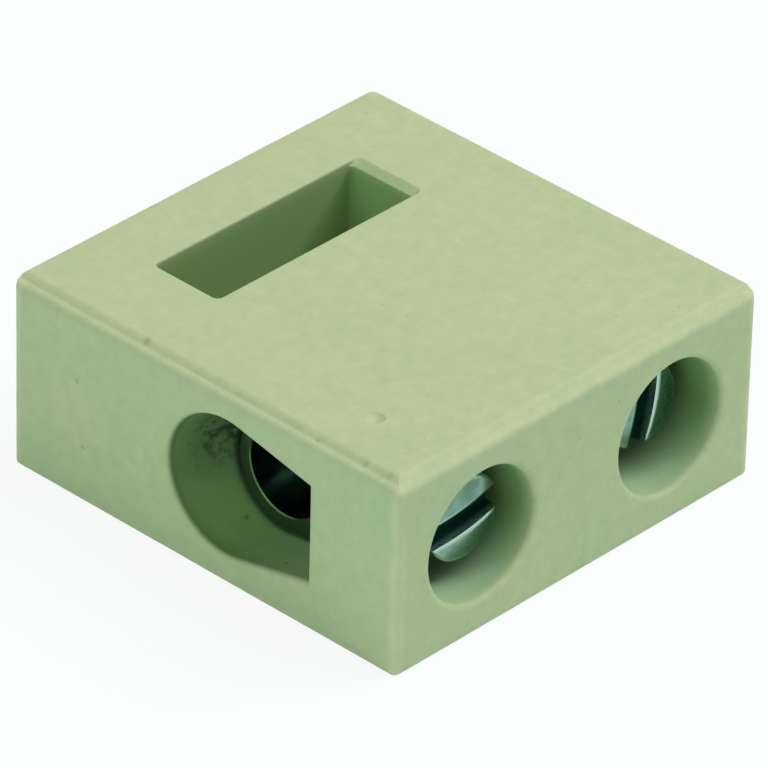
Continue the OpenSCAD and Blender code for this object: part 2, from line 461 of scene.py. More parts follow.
pit_patch = pit()
front_edge = on_plane(rectangle(x_ticks, front_ticks), 2, HEIGHT)
top_front = between(pit_patch[0], front_edge, FRONT_STEPS)
print("pit", PIT_RADIUS * 2, "mm across,", PIT_DEPTH, "mm deep")

# %% [markdown]
# ## The wire funnels and the passage
# The conductor goes in through a funnel with one flat side, to a pear-shaped passage where
# the bar lies. Both sections are an upright flat towards the screws, two straight flanks
# that touch a circle, and the circle's far side. They have the same number of points, so
# the funnel is the straight blend of the two.

# %% Funnel and passage
AXIS_Y, AXIS_Z = mount_place("left_wire_bore")[1:]
FUNNEL_DEPTH = 3.0
PASSAGE_HALF = HALF_LENGTH - FUNNEL_DEPTH
PASSAGE = {"reach": 4.025, "half": 2.7, "radius": 3.235, "shift": 0.0}
MOUTH = {"reach": 4.375, "half": 2.7, "radius": 3.785, "shift": 1.15}
FUNNEL_STEPS = 14
FACE_STEPS = 22
y_count = FRONT_COUNT + REAR_COUNT


def pear(reach, half, radius, shift, grow=0.0):
    """Outline about the bore's axis, in four runs that answer to an end face's sides. The
    first run goes from the flat's lower corner C along the flank to the point T where it
    touches the circle, at angle -180 + atan(half / (reach + shift)) + acos(radius / |OC|)
    degrees, and on along the circle to -45 degrees, with equal steps of length."""
    reach, half, radius = reach + grow, half + grow, radius + grow
    distance = math.hypot(reach + shift, half)
    touch = -math.pi + math.atan2(half, reach + shift) + math.acos(radius / distance)
    corner = np.array([-reach, -half])
    centre = np.array([shift, 0.0])
    flank = math.sqrt(distance ** 2 - radius ** 2)
    along = np.linspace(0, flank + radius * (-math.pi / 4 - touch), y_count + 1)[:, None]
    touch_point = centre + radius * circle(touch)
    arc = centre + radius * circle(touch + (along[:, 0] - flank) / radius)
    lower = np.where(along < flank, corner + (touch_point - corner) * along / flank, arc)
    back = centre + radius * circle(np.radians(np.linspace(-45, 45, Z_COUNT + 1)))
    upper = lower[::-1] * (1, -1)
    flat = pairs(-reach, np.linspace(half, -half, Z_COUNT + 1))
    return np.concatenate([lower[:-1], back[:-1], upper[:-1], flat[:-1]]) + (AXIS_Y, AXIS_Z)


def left_end():
    """The left end face, a ring from the rim to its rectangle, then the rounded rim,
    and the funnel, a blend from the mouth to the passage."""
    rim = layers(0, [
        (pear(**MOUTH, grow=grow), -HALF_LENGTH + depth)
        for grow, depth in quarter_round(RIM, EDGE_STEPS)
    ])
    face_edge = on_plane(rectangle(y_ticks, z_ticks), 0, -HALF_LENGTH)
    funnel = between(rim[-1], on_plane(pear(**PASSAGE), 0, -PASSAGE_HALF), FUNNEL_STEPS)
    return [between(rim[0], face_edge, FACE_STEPS), rim, funnel]


left_patches = left_end()
right_patches = [patch * (-1, 1, 1) for patch in left_patches]
passage_x = np.linspace(-PASSAGE_HALF, PASSAGE_HALF, X_COUNT + 1)
passage_outline = pear(**PASSAGE)
round_side = passage_outline[:2 * y_count + Z_COUNT + 1]
passage = layers(0, [(round_side, x) for x in passage_x])
print("funnel from", MOUTH["radius"], "to", PASSAGE["radius"], "mm radius")

# %% [markdown]
# ## The screw holes
# Each clamp screw stands at the bottom of a round access hole, and its head passes through
# a narrower throat to the bar. The hole is turned from one profile of (radius, depth). A
# ring round its rim covers half of the screw face, and a ring round its lower end covers
# half of the passage's flat side.

# %% Screw holes
SCREW_SPACING = node_box("right_clamp_screw")[0][0] - node_box("left_clamp_screw")[0][0]
SCREW_X = SCREW_SPACING / 2
ACCESS_RADIUS = 3.6
ACCESS_DEPTH = 4.3
THROAT_RADIUS = 3.05
LEDGE_ROUND = 0.15
WALL_STEPS = 10
PASSAGE_STEPS = 3
half_count = X_COUNT // 2
passage_flat = AXIS_Y - PASSAGE["reach"]
hole_ring = circle(quarters((half_count, Z_COUNT, half_count, Z_COUNT)))


def straight(radius, start, end):
    """A straight wall of a turned hole: (radius, depth) from after its start to its end."""
    return np.linspace((radius, start), (radius, end), WALL_STEPS + 1)[1:]


def hole_profile():
    """(radius, depth) from the rim of the screw face down to the flat of the passage."""
    rim = quarter_round(RIM, EDGE_STEPS) + (ACCESS_RADIUS, 0)
    wall = straight(ACCESS_RADIUS, RIM, ACCESS_DEPTH - LEDGE_ROUND)
    foot = (ACCESS_RADIUS, ACCESS_DEPTH) - quarter_round(LEDGE_ROUND, EDGE_STEPS)[:, ::-1]
    lip = quarter_round(LEDGE_ROUND, EDGE_STEPS) + (THROAT_RADIUS, ACCESS_DEPTH)
    throat = straight(THROAT_RADIUS, ACCESS_DEPTH + LEDGE_ROUND, passage_flat + HALF_WIDTH)
    return np.concatenate([rim, wall, foot[1:], lip, throat])


def screw_hole(side):
    """Half of the screw face, the hole turned from its profile, and half of the flat side
    of the passage."""
    x = side * SCREW_X
    half = slice(0, half_count + 1) if side < 0 else slice(half_count, X_COUNT + 1)
    hole = layers(1, [
        (radius * hole_ring + (x, AXIS_Z), depth - HALF_WIDTH)
        for radius, depth in hole_profile()
    ])
    face_edge = on_plane(rectangle(x_ticks[half], z_ticks), 1, -HALF_WIDTH)
    flat_z = AXIS_Z + np.linspace(-PASSAGE["half"], PASSAGE["half"], Z_COUNT + 1)
    flat_edge = on_plane(rectangle(passage_x[half], flat_z), 1, passage_flat)
    return [
        between(hole[0], face_edge, FACE_STEPS),
        hole,
        between(hole[-1], flat_edge, PASSAGE_STEPS),
    ]


hole_patches = screw_hole(-1) + screw_hole(1)
print("screw holes at x", -SCREW_X, "and", SCREW_X)

# %% [markdown]
# Merging the points that the patches share closes the skin, and the count of open edges
# shows whether every seam has met.

# %% Sew the block
block = sew(
    "ceramic_block",
    edge_patches + slot + [top_rear, under_rear, pit_patch, top_front]
    + left_patches + right_patches + hole_patches,
    corner_walls + [back_wall, under_front, passage],
)

# %% [markdown]
# ## Numbers for the block's material
# A material can't tell from a place what kind of wall lies there, so each point of the mesh
# keeps some numbers for it. The first two say how close it is to an upright corner, where
# the ceramic is rubbed pale, and how far inside a hole, where painted shade darkens the wall.

# %% Corners and holes
PALE_FULL = 0.21
PALE_REACH = 0.7
# Painted shade darkens the walls inwards, in the fixing slot and in the holes.
SLOT_INSIDE = (0.0, 0.5)
HOLE_INSIDE = (0.1, 1.1)
EDGE_MARGIN = 0.1
RIM_REACH = RIM + EDGE_MARGIN


def ramp(value, low, high):
    """0 below low, 1 above high, and a straight line between."""
    return np.clip((value - low) / (high - low), 0, 1)


def depth_inside(points):
    """Distance of each point from the nearest face of the block's box."""
    middle = np.array([0, 0, HEIGHT / 2])
    inset = np.array([HALF_LENGTH, HALF_WIDTH, HEIGHT / 2]) - np.abs(points - middle)
    return inset.min(axis=1)


def closeness_to_corners(points):
    """1 on the upright corners and 0 on the flats: it falls with the larger of the
    distances from the two walls that meet."""
    inset = np.array([HALF_LENGTH, HALF_WIDTH]) - np.abs(points[:, :2])
    return ramp(-inset.max(axis=1), -PALE_REACH, -PALE_FULL)


def in_slot(points):
    """True in the fixing slot and on its rim."""
    from_slot = np.abs(points[:, :2] - (0, SLOT_Y)) - SLOT_HALF
    return from_slot.max(axis=1) < END_BEVEL[0][1] + EDGE_MARGIN


def inside_share(points):
    """0 on the outside, growing to 1 inwards in the fixing slot and in the other
    holes, which lie about the height of the bore's axis."""
    depth = depth_inside(points)
    in_hole = np.abs(points[:, 2] - AXIS_Z) < MOUTH["radius"] + RIM_REACH
    hole_share = ramp(depth, *HOLE_INSIDE) * in_hole
    return np.where(in_slot(points), ramp(depth, *SLOT_INSIDE), hole_share)


# The printed share is the share of painted shade on the slot's wall.
slot_wall = np.array([[0.0, SLOT_Y + SLOT_HALF[1], HEIGHT / 2]])
print("deep tone halfway down the slot's wall:", inside_share(slot_wall)[0])

# %% [markdown]
# Painted shade darkens the funnels, most of all high up under their roofs, and the passage
# and the bottom of the screw holes.

# %% Painted shade in the funnels, passage and screw holes
SEAM_MARGIN = 0.01
# Painted shade in the funnels starts just inside the rims and is weaker towards the flat side.
FUNNEL_SHADE_DEPTHS = (0.05, RIM)
FUNNEL_SHADE_SIDES = (AXIS_Y - MOUTH["reach"], AXIS_Y + 1.5)
FUNNEL_SHADE_AT_FLAT = 0.35
# Painted shade under the funnels' roofs.
ROOF_SHADE_DEPTHS = (0.6, 1.5)
ROOF_SHADE_HEIGHTS = (AXIS_Z - 1.6, AXIS_Z + 0.6)
# Painted shade in the gap round the bar's end and at the bottom of the screw holes.
GAP_REACH = 0.25
HOLE_SHADE_DEPTHS = (1.6, 4.4)


def funnel_depth(points):
    """Depth from the end faces on the walls of the funnels and of the passage, and 0
    elsewhere. The throats of the screw holes start at the passage's flat side."""
    from_axis = points[:, 1:] - (AXIS_Y, AXIS_Z)
    reach = MOUTH["radius"] + MOUTH["shift"] + RIM_REACH
    low = np.array([-MOUTH["reach"] - RIM_REACH, -MOUTH["radius"] - RIM_REACH])
    high = np.array([reach, MOUTH["radius"] + RIM_REACH])
    within = np.all((from_axis > low) & (from_axis < high), axis=1)
    beside_throats = np.abs(points[:, 0]) > PASSAGE_HALF - SEAM_MARGIN
    beyond_throats = points[:, 1] > passage_flat + SEAM_MARGIN
    return (HALF_LENGTH - np.abs(points[:, 0])) * (within & (beside_throats | beyond_throats))


def funnel_shade_share(points):
    """Painted shade in the funnels. It starts just inside the rims, and is weaker towards the
    flat side.
    """
    from_flat = ramp(points[:, 1], *FUNNEL_SHADE_SIDES)
    strength = FUNNEL_SHADE_AT_FLAT + (1 - FUNNEL_SHADE_AT_FLAT) * from_flat
    return ramp(funnel_depth(points), *FUNNEL_SHADE_DEPTHS) * strength


def funnel_roof_shade(points):
    """Where painted shade lies under a funnel's roof: deep in a funnel, more and more from
    below the bore's axis up.
    """
    return ramp(funnel_depth(points), *ROOF_SHADE_DEPTHS) * ramp(points[:, 2], *ROOF_SHADE_HEIGHTS)


def passage_shade(points):
    """Painted shade in the passage, from the gap round the bar's end on."""
    return ramp(funnel_depth(points), FUNNEL_DEPTH - GAP_REACH, FUNNEL_DEPTH)


def screw_hole_shade(points):
    """Painted shade at the bottom of the screw holes, growing towards the throat."""
    from_axis = np.hypot(np.abs(points[:, 0]) - SCREW_X, points[:, 2] - AXIS_Z)
    before_passage = points[:, 1] < passage_flat + EDGE_MARGIN
    in_hole = (from_axis < ACCESS_RADIUS + RIM_REACH) & before_passage
    return ramp(points[:, 1] + HALF_WIDTH, *HOLE_SHADE_DEPTHS) * in_hole


# Painted shade at the edge of a throat.
throat_edge = np.array([[SCREW_X + THROAT_RADIUS, ACCESS_DEPTH - HALF_WIDTH, AXIS_Z]])
print("grime at the edge of a throat:", round(float(screw_hole_shade(throat_edge)[0]), 2))

# %% [markdown]
# ## Slight unevenness of the fired block
# Fired ceramic is never quite true. A few random sine waves, added along the normals, make
# the walls drift by some hundredths of a millimetre, which breaks the ruler-straight edges.
# The same step stores the numbers. One more says where painted light lies: on inner walls that
# face up, apart from the fixing slot. There the painted light also lifts a part of the painted
# shade at the bottom of the screw holes.

# %% Unevenness and stored numbers
WAVE_COUNT = 14
WAVE_HEIGHT = 0.012
WAVE_LENGTHS = (2.5, 9.0)
# Painted light: inner walls that face up are paler, as if lit from above, and a part of the
# painted shade of the screw holes is lifted there.
LIT_SLOPES = (0.2, 0.9)
SHADE_LIFTED = 0.55
rng = np.random.default_rng(7)


def vertex_array(source, field):
    """One vector field of a mesh's points, as an array of rows."""
    values = np.empty(len(source) * 3)
    source.foreach_get(field, values)
    return values.reshape(-1, 3)


def store(mesh, name, values):
    """Keeps one number for each point of a mesh, for its material."""
    attribute = mesh.attributes.new(name, "FLOAT", "POINT")
    attribute.data.foreach_set("value", np.asarray(values, np.float32))


def waves(points):
    """Mean of sine waves sin(k p + f), with random directions, lengths and phases."""
    direction = rng.normal(size=(WAVE_COUNT, 3))
    direction /= np.linalg.norm(direction, axis=1, keepdims=True)
    length = rng.uniform(*WAVE_LENGTHS, WAVE_COUNT)
    phase = rng.uniform(0, 2 * math.pi, WAVE_COUNT)
    wave_vectors = direction * (2 * math.pi / length)[:, None]
    return np.sin(points @ wave_vectors.T + phase).mean(axis=1)


def surface_numbers(points, normals):
    """The numbers that the block's material reads, each from 0 to 1, by name."""
    inside = inside_share(points)
    # Painted light on inner walls that face up, which lifts a part of the painted shade of the
    # screw holes.
    upward = ramp(normals[:, 2], *LIT_SLOPES)
    lifted_hole_shade = screw_hole_shade(points) * (1 - SHADE_LIFTED * upward)
    return {
        "corner": closeness_to_corners(points),
        "inside": inside,
        "lit_upward": inside * upward * ~in_slot(points),
        "funnel_shade": funnel_shade_share(points),
        "roof_shade": funnel_roof_shade(points),
        "grime": np.maximum(lifted_hole_shade, passage_shade(points)),
    }


def weather(piece):
    """Stores the numbers at the points, and moves the points inwards along their normals by
    the waves, never out of the solid's box."""
    mesh = piece.data
    points = vertex_array(mesh.vertices, "co") / MM
    normals = vertex_array(mesh.vertex_normals, "vector")
    moved = points + normals * (WAVE_HEIGHT * (waves(points) - 1))[:, None]
    moved = np.clip(moved, block_low, block_high)
    mesh.vertices.foreach_set("co", (moved * MM).ravel())
    for name, values in surface_numbers(points, normals).items():
        store(mesh, name, values)
    mesh.update()
    print("unevenness up to", round(float(np.abs(moved - points).max()), 3), "mm")


weather(block)
smooth(block)

# %% [markdown]
# ## The clamp screws
# Each screw is turned from steel, slotted and zinc plated. Its head's face is a grid of two
# parameters: v runs across the driver slot, and t along it, scaled to the circle's chord at
# that v, so that the slot's walls are straight rows of points.

# %% Head of a screw
HEAD_RADIUS = 2.3
HEAD_HEIGHT = 1.6
HEAD_ROUND = 0.15
HEAD_DOME = 0.2
SLOT_DEPTH = 1.0
SLOT_WIDTH = 1.25
SLOT_FOOT = [(-0.16, 0.0), (-0.05, 0.03), (0.0, 0.14)]
SLOT_WALL = [(0.0, 0.6), (0.0, 0.35), (0.005, 0.22), (0.01, 0.16)]
SLOT_LIP = [(0.03, 0.07), (0.09, 0.02), (0.2, 0.0)]
LIP_DROP = 0.2
LAND_START = 0.3
LAND_COLUMNS = 12
CHORD_COUNT = 28
solid_low, solid_high = node_box("left_clamp_screw")
slot_half_width = SLOT_WIDTH / 2
screw_length = solid_high[1] - solid_low[1] + HEAD_DOME * (slot_half_width / HEAD_RADIUS) ** 2
under_head = screw_length - HEAD_HEIGHT


def slot_profile():
    """Half of the section across the driver slot, as (v, drop below the face) from
    its middle to the head's edge: floor, rounded foot, given by its height
    above the floor, wall, worn lip and plain land."""
    floor = [(0.0, SLOT_DEPTH)]
    foot = [(slot_half_width + out, SLOT_DEPTH - rise) for out, rise in SLOT_FOOT]
    wall = [(slot_half_width + out, drop) for out, drop in SLOT_WALL + SLOT_LIP]
    start = math.asin((slot_half_width + LAND_START) / HEAD_RADIUS)
    land = HEAD_RADIUS * np.sin(np.linspace(start, math.pi / 2, LAND_COLUMNS))
    return np.concatenate([floor + foot + wall, pairs(land, 0.0)])


def face_fall(rho):
    """Fall of the head's face below its top at radius rho: a dome that falls with rho^2,
    and a quarter round at the edge."""
    over = np.maximum(rho - (HEAD_RADIUS - HEAD_ROUND), 0)
    rounded = HEAD_ROUND - np.sqrt(HEAD_ROUND ** 2 - over ** 2)
    return rounded + HEAD_DOME * (rho / HEAD_RADIUS) ** 2


def head_face():
    """Height over the grid of t and v: the domed face, less the lip's own drop where that
    is small, and otherwise the lower of the face and the slot's section at v."""
    half = slot_profile()
    across = np.concatenate([half[:0:-1] * (-1, 1), half])
    v, drop = across[:, 0][None, :], across[:, 1][None, :]
    t = np.sin(np.linspace(-math.pi / 2, math.pi / 2, CHORD_COUNT + 1))[:, None]
    u = t * np.sqrt(np.maximum(HEAD_RADIUS ** 2 - v ** 2, 0))
    rho = np.minimum(np.hypot(u, v), HEAD_RADIUS)
    domed = screw_length - face_fall(rho)
    cut = np.minimum(domed, screw_length - drop)
    height = np.where(drop < LIP_DROP, domed - drop, cut)
    return np.stack([u, np.broadcast_to(v, u.shape), height], -1)


print("head face of", head_face().shape[:2], "points")

# %% [markdown]
# The shank is a helix: its radius depends on height minus turn. Head and shank hang together
# because one strip runs from the face's edge down to the tip on the edge's own points.

# %% Shank of a screw
THREAD_PITCH = 0.7
THREAD_ROOT = 1.57
THREAD_CREST = 1.98
THREAD_STEEPNESS = 1.6
THREAD_CUT = 0.3
THREAD_ROWS = 84
TIP_CHAMFER = 0.4
SIDE_STEPS = 6
UNDER_ROUND = 0.12
UNDER_STEPS = 3


def shank_radius(height, turn):
    """Thread: a triangle wave of height / pitch - turn, cut off flat at crest and root, and
    fading out under the head and at the tip."""
    phase = height / THREAD_PITCH - turn / (2 * math.pi)
    wave = np.abs(2 * (phase - np.floor(phase)) - 1)
    ridge = np.clip(THREAD_STEEPNESS * wave - THREAD_CUT, 0, 1)
    fade = np.clip((under_head - height) / THREAD_PITCH, 0, 1)
    radius = THREAD_ROOT + (THREAD_CREST - THREAD_ROOT) * ridge * fade
    return np.minimum(radius, THREAD_CREST - TIP_CHAMFER + height)


def screw_patches():
    """Head face, and one strip down from its edge: the head's side, its
    underside, the threaded shank and the tip."""
    face = head_face()
    edge = np.concatenate([face[-1, :], face[0, ::-1]])
    turn = np.arctan2(edge[:, 1], edge[:, 0])
    ring = circle(turn)
    under = layers(2, [
        ((HEAD_RADIUS - inset) * ring, under_head + depth)
        for inset, depth in quarter_round(UNDER_ROUND, UNDER_STEPS)[::-1]
    ])
    shank = layers(2, [
        (shank_radius(height, turn)[:, None] * ring, height)
        for height in np.linspace(under_head, 0, THREAD_ROWS + 1)
    ])
    tip = np.stack([shank[-1], on_plane(0 * ring, 2, 0.0)])
    side = between(edge, under[0], SIDE_STEPS)
    return face, [side, under, np.stack([under[-1], shank[0]]), shank, tip]


print("strip of", len(screw_patches()[1]), "patches below the head's face")

# %% [markdown]
# Both screws are the same part, turned and pushed to where they stand in the solids. Their
# points keep two numbers, for painted shade and for rubbed plate with a painted highlight.

# %% Place the screws
# Painted shade in the driver slot and on the head's side, growing with the depth below the
# face.
SLOT_SHADE_DEPTHS = (0.12, 0.45)
# Rubbed plate along the slot's lips and the head's edge, with a painted highlight.
RUB_HIGHLIGHT_WIDTH = 0.28
SLOT_ANGLES = {"left_clamp_screw": 8, "right_clamp_screw": 80}


def store_wear(piece, to_local, place):
    """Keeps two numbers at the screw's points: painted shade, which grows with the depth below
    the head's domed face, and rub, along the slot's lips and the head's edge, where the
    driver and the hole have polished the plate and a highlight is painted."""
    local = (vertex_array(piece.data.vertices, "co") / MM - place) @ to_local
    rho = np.minimum(np.hypot(local[:, 0], local[:, 1]), HEAD_RADIUS)
    shade_and_tarnish = ramp(screw_length - face_fall(rho) - local[:, 2], *SLOT_SHADE_DEPTHS)
    lip = ramp(-np.abs(local[:, 1]), -slot_half_width - RUB_HIGHLIGHT_WIDTH, -slot_half_width)
    edge = ramp(rho, HEAD_RADIUS - RUB_HIGHLIGHT_WIDTH, HEAD_RADIUS)
    store(piece.data, "shade_and_tarnish", shade_and_tarnish)
    store(piece.data, "rub_and_highlight", np.maximum(lip, edge) * (1 - shade_and_tarnish))


def make_screw(node):
    """Builds the screw standing on its tip, turns it by its slot's angle and lays it along
    the hole: local x, y and z become x, z and -y."""
    low, high = node_box(node)
    face, rings = screw_patches()
    angle = math.radians(SLOT_ANGLES[node])
    spin = np.array([
        [math.cos(angle), math.sin(angle), 0],
        [-math.sin(angle), math.cos(angle), 0],
        [0, 0, 1],
    ])
    lay = np.array([[1, 0, 0], [0, 0, 1], [0, -1, 0]])
    place = np.array([(low[0] + high[0]) / 2, high[1], AXIS_Z])
    placed = [patch @ spin @ lay + place for patch in [face] + rings]
    piece = sew(node.replace("clamp_screw", "slotted_screw"), placed[1:], placed[:1])
    smooth(piece)
    store_wear(piece, (spin @ lay).T, place)
    return piece


screws = {node: make_screw(node) for node in SLOT_ANGLES}

# %% [markdown]
# ## Materials
# Every finish is a node tree on Object coordinates and stored numbers, so that it stays with
# the piece at any pose. One helper fills a node's sockets, one adds a node, and the others
# use these two for the kinds of node that come back.

# %% Material helpers
MIX_FACTOR, MIX_FIRST, MIX_SECOND, MIX_RESULT = 0, 6, 7, 2


def new_material(name):
    """A material with nodes, and its tree and shader."""
    material = bpy.data.materials.new(name)
    material.use_nodes = True
    tree = material.node_tree
    return material, tree, tree.nodes["Principled BSDF"]


def fill(tree, node, sockets):
    """Fills a node's input sockets: another node's output is linked, and any other value
    is set."""
    for key, value in sockets.items():
        if isinstance(value, bpy.types.NodeSocket):
            tree.links.new(value, node.inputs[key])
        else:
            node.inputs[key].default_value = value


def add(tree, kind, sockets=None, **settings):
    """Adds a node, sets its properties and fills its sockets."""
    made = tree.nodes.new("ShaderNode" + kind)
    for key, value in settings.items():
        setattr(made, key, value)
    fill(tree, made, sockets or {})
    return made


def object_point(tree):
    """The point on the piece, in its own frame."""
    return add(tree, "TexCoord").outputs["Object"]


def stored(tree, name):
    """A number that the piece keeps at its points."""
    return add(tree, "Attribute", attribute_name=name).outputs["Fac"]


def noise(tree, scale, detail=2.0, rough=0.5):
    """Smooth noise of about 1 / scale metres, from 0 to 1."""
    sockets = {
        "Vector": object_point(tree), "Scale": scale, "Detail": detail, "Roughness": rough,
    }
    return add(tree, "TexNoise", sockets).outputs["Fac"]


def remap(tree, value, low, high, to_low=0.0, to_high=1.0):
    """Straight map of low..high to to_low..to_high, clamped."""
    sockets = {
        "Value": value, "From Min": low, "From Max": high, "To Min": to_low, "To Max": to_high,
    }
    return add(tree, "MapRange", sockets).outputs["Result"]


def blend(tree, share, first, second, mode="MIX"):
    """Mixes two colours. The node's sockets go by number, because those for numbers,
    vectors and colours have the same names."""
    sockets = {MIX_FACTOR: share, MIX_FIRST: first, MIX_SECOND: second}
    return add(tree, "Mix", sockets, data_type="RGBA", blend_type=mode).outputs[MIX_RESULT]


def math_node(tree, operation, first, second):
    """One step of arithmetic."""
    return add(tree, "Math", {0: first, 1: second}, operation=operation).outputs[0]


def bump(tree, height, depth, strength, under=None):
    """Bump of a height map, depth metres for one unit, on top of another bump."""
    sockets = {"Height": height, "Distance": depth, "Strength": strength}
    if under is not None:
        sockets["Normal"] = under
    return add(tree, "Bump", sockets).outputs["Normal"]


def srgb(red, green, blue):
    """Colour as a screen shows it, from 0 to 255, turned into the linear values of light by
    the sRGB curve: c / 12.92 up to 0.04045, and ((c + 0.055) / 1.055)^2.4 above."""
    share = np.array([red, green, blue]) / 255
    linear = np.where(share <= 0.04045, share / 12.92, ((share + 0.055) / 1.055) ** 2.4)
    return (*linear.tolist(), 1.0)


print("half of a screen's white is", round(srgb(128, 128, 128)[0], 3), "in linear light")

# %% [markdown]
# ## Green ceramic
# The body is coloured through and unglazed. Its tone drifts between a warmer and a greener
# shade over some millimetres, it has a fine grain with small pores, and a few dark grains
# were fired into the surface.

# %% Pores and dark grains
PORE_SCALE = 700
PORE_SIZE = 0.07
PORE_CORE = 0.6
PORE_SHARE = 0.16
GRAINS = [
    (-11.77, 4.42, 10.67, 0.3, 0.4),
    (-11.87, -10.16, 10.61, 0.26, 0.3),
    (-11.76, -11.64, 10.68, 0.28, 0.22),
    (-11.97, -7.08, 10.54, 0.18, 0.35),
    (-10.01, -11.05, 10.79, 0.2, 0.15),
    (-12.49, 8.48, 6.83, 0.22, 0.3),
    (-12.49, 8.09, 3.21, 0.2, 0.32),
    (-10.21, -0.83, 2.36, 0.2, 0.6),
    (-11.53, -4.81, 2.27, 0.18, 0.45),
]
RAGGED_SCALE = 9000
RAGGED_BAND = (0.3, 0.7)
RAGGED = 0.03


def pores(tree):
    """Spots in the cells of a Voronoi pattern: 1 inside a pore. Only the cells whose own
    random number passes 1 - PORE_SHARE have one."""
    cell = add(tree, "TexVoronoi", {"Vector": object_point(tree), "Scale": PORE_SCALE})
    spot = remap(tree, cell.outputs["Distance"], PORE_SIZE, PORE_CORE * PORE_SIZE)
    random_part = add(tree, "SeparateColor", {"Color": cell.outputs["Color"]}).outputs["Red"]
    chosen = math_node(tree, "GREATER_THAN", random_part, 1 - PORE_SHARE)
    return math_node(tree, "MULTIPLY", spot, chosen)


def dark_grains(tree):
    """The largest of all grains, listed as x, y, z, radius and darkness: each falls
    from its darkness at the centre to 0 at its radius, with the distance
    disturbed by noise."""
    point = object_point(tree)
    ragged = remap(tree, noise(tree, RAGGED_SCALE), *RAGGED_BAND, -RAGGED * MM, RAGGED * MM)
    found = 0.0
    for x, y, z, radius, darkness in GRAINS:
        centre = (x * MM, y * MM, z * MM)
        apart = add(tree, "VectorMath", {0: point, 1: centre}, operation="DISTANCE")
        distance = math_node(tree, "ADD", apart.outputs["Value"], ragged)
        spot = remap(tree, distance, radius * MM, 0.0, 0.0, darkness)
        found = math_node(tree, "MAXIMUM", spot, found)
    return found


print("dark grains:", len(GRAINS))

# %% [markdown]
# The colour is built up in layers: the fired body, the pale corners and the painted shade of
# the holes, then painted light on inner walls that face up, painted shade in the funnels, the
# screw holes and the passage, and last the dark grains. On the funnels' floors the painted
# light makes their painted shade paler, and under their roofs the painted shade shows as
# smudges.

# %% Green ceramic
CERAMIC_WARM = srgb(187, 197, 152)
CERAMIC_GREEN = srgb(182, 196, 151)
# Painted shade inside the fixing slot and the holes.
CERAMIC_HOLE_SHADE = srgb(140, 172, 110)
# Painted shade in the funnels.
CERAMIC_FUNNEL_SHADE = srgb(97, 127, 76)
# The funnels' painted shade where painted light lies on it.
CERAMIC_LIT_FUNNEL_SHADE = srgb(126, 161, 94)
# Painted light on inner walls that face up.
CERAMIC_LIT_WALL = srgb(186, 218, 178)
CERAMIC_PALE = srgb(210, 212, 168)
# Dark colour of the painted shade in the screw holes, the passage and under the funnels'
# roofs, and of the real dark grains.
CERAMIC_SHADE_AND_SPECKS = srgb(30, 52, 30)
PORE = srgb(92, 110, 72)
FINE_NOISE = {"detail": 3.0, "rough": 0.6}
TONE_SCALE, TONE_DETAIL, TONE_BAND = 160, 3.0, (0.36, 0.64)
GRAIN_SCALE, GRAIN_BAND = 2600, (0.3, 0.7)
MOTTLE_SCALE, MOTTLE_BAND = 1100, (0.6, 1.4)
MOTTLE_RED, MOTTLE_COLD = (0.9, 1.1), (0.945, 1.055)
WORN_SCALE, WORN_BAND, WORN_SHARE = 700, (0.35, 0.65), (0.35, 0.75)
SMUDGE_SCALE, SMUDGE_BAND, SMUDGE_SHARE = 2200, (0.46, 0.6), (0.35, 1.0)
SWELL_SCALE = 420
# The second and third numbers are the strengths of the painted light and of the painted shade
# in the holes.
PORE_TINT, LIT_TINT, RECESS_SHADE_TINT = 0.2, 0.8, 0.8
CERAMIC_ROUGHNESS, CERAMIC_GLOSS = (0.6, 0.74), 0.35
SWELL_BUMP, GRAIN_BUMP, PORE_BUMP = (4e-5, 0.5), (1.6e-5, 0.6), (5e-5, 0.4)


def fired_body(tree, grain, spots):
    """Colour of the fired body: two tones that drift, a mottle that moves red more than green
    and blue, and the pores."""
    tone = remap(tree, noise(tree, TONE_SCALE, TONE_DETAIL), *TONE_BAND)
    colour = blend(tree, tone, CERAMIC_WARM, CERAMIC_GREEN)
    mottle = math_node(tree, "ADD", grain, noise(tree, MOTTLE_SCALE))
    red = remap(tree, mottle, *MOTTLE_BAND, *MOTTLE_RED)
    cold = remap(tree, mottle, *MOTTLE_BAND, *MOTTLE_COLD)
    cloud = add(tree, "CombineColor", {"Red": red, "Green": cold, "Blue": cold}).outputs[0]
    colour = blend(tree, 1.0, colour, cloud, "MULTIPLY")
    return blend(tree, math_node(tree, "MULTIPLY", spots, PORE_TINT), colour, PORE)


